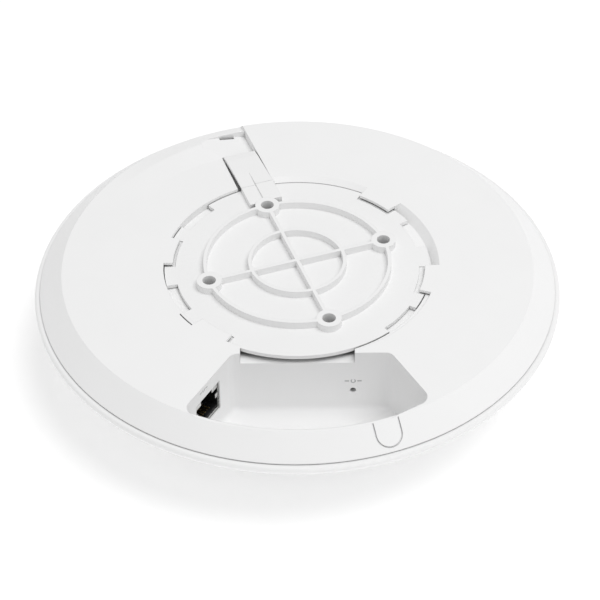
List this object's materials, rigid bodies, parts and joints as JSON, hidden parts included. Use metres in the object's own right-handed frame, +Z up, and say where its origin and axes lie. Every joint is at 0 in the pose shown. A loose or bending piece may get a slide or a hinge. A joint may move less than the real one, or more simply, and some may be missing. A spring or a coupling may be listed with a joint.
{
  "type": "ceiling access point",
  "caption": "Round ceiling wireless access point: domed cover, flat back with a cable recess and network jack, and a twist-lock ceiling bracket with a springy release arm.",
  "frame": {"origin": "centre of the mounting bracket's ceiling face, on the bolt circle's axis and on the rib tops", "axes": "+Z up into the ceiling, the unit hangs below; -Y towards the cable recess, +X right when seen from the recess side"},
  "size_m": [0.16, 0.16, 0.034],
  "materials": {
    "casing_white": "fine matt moulded surface",
    "cover_white": "fine matt moulded surface",
    "bracket_white": "fine matt moulded surface",
    "light_ring": "frosted, light-diffusing",
    "button_grey": "smooth moulding",
    "heat_metal": "stamped, lightly brushed",
    "board_green": "solder-masked laminate",
    "screw_steel": "zinc plated",
    "shield_metal": "bright tinned sheet",
    "insert_black": "glass-filled moulding",
    "contact_gold": "gold plated",
    "chip_black": "moulded epoxy",
    "pad_grey": "soft thermal pad",
    "capacitor_metal": "drawn can",
    "ferrite_grey": "pressed ferrite",
    "led_white": "clear encapsulant"
  },
  "bodies": {
    "bracket": {"mounting_bracket": "bracket_white"},
    "arm": {"release_arm": "bracket_white"},
    "reset_button": {"reset_plunger": "button_grey"},
    "access_point": {"rear_casing": "casing_white", "front_cover": "cover_white", "light_guide": "light_ring", "centre_cap": "cover_white", "heat_spreader": "heat_metal", "main_board": "board_green", "spreader_screws": "screw_steel", "board_screws": "screw_steel", "jack_shell": "shield_metal", "jack_insert": "insert_black", "jack_contacts": "contact_gold", "reset_switch": "chip_black", "processor": "chip_black", "thermal_pad": "pad_grey", "memory_chips": "chip_black", "flash_chip": "chip_black", "clock_crystal": "shield_metal", "ethernet_transformer": "chip_black", "electrolytic_capacitors": "capacitor_metal", "power_inductors": "ferrite_grey", "radio_shield_2g": "shield_metal", "radio_shield_5g": "shield_metal", "radio_chip_2g": "chip_black", "radio_chip_5g": "chip_black", "status_leds": "led_white", "antenna_1": "shield_metal", "antenna_2": "shield_metal", "antenna_3": "shield_metal", "antenna_4": "shield_metal"}
  },
  "joints": [
    {"name": "bayonet_twist", "type": "hinge", "parent": "bracket", "child": "access_point", "pos_m": [0, 0, 0], "axis": [0, 0, -1], "range_deg": [0, 28]},
    {"name": "arm_flex", "type": "hinge", "parent": "bracket", "child": "arm", "pos_m": [-0.01302, 0.0374, -0.00065], "axis": [0.9444, 0.3289, 0], "range_deg": [0, 3.6]},
    {"name": "reset_press", "type": "slide", "parent": "access_point", "child": "reset_button", "axis": [0, 1, 0], "range_m": [0, 0.00025], "stiffness_N_per_m": 400}
  ],
  "couplings": [
    {"joint": "arm_flex", "follows": "bayonet_twist", "ratio": 0.1285}
  ]
}
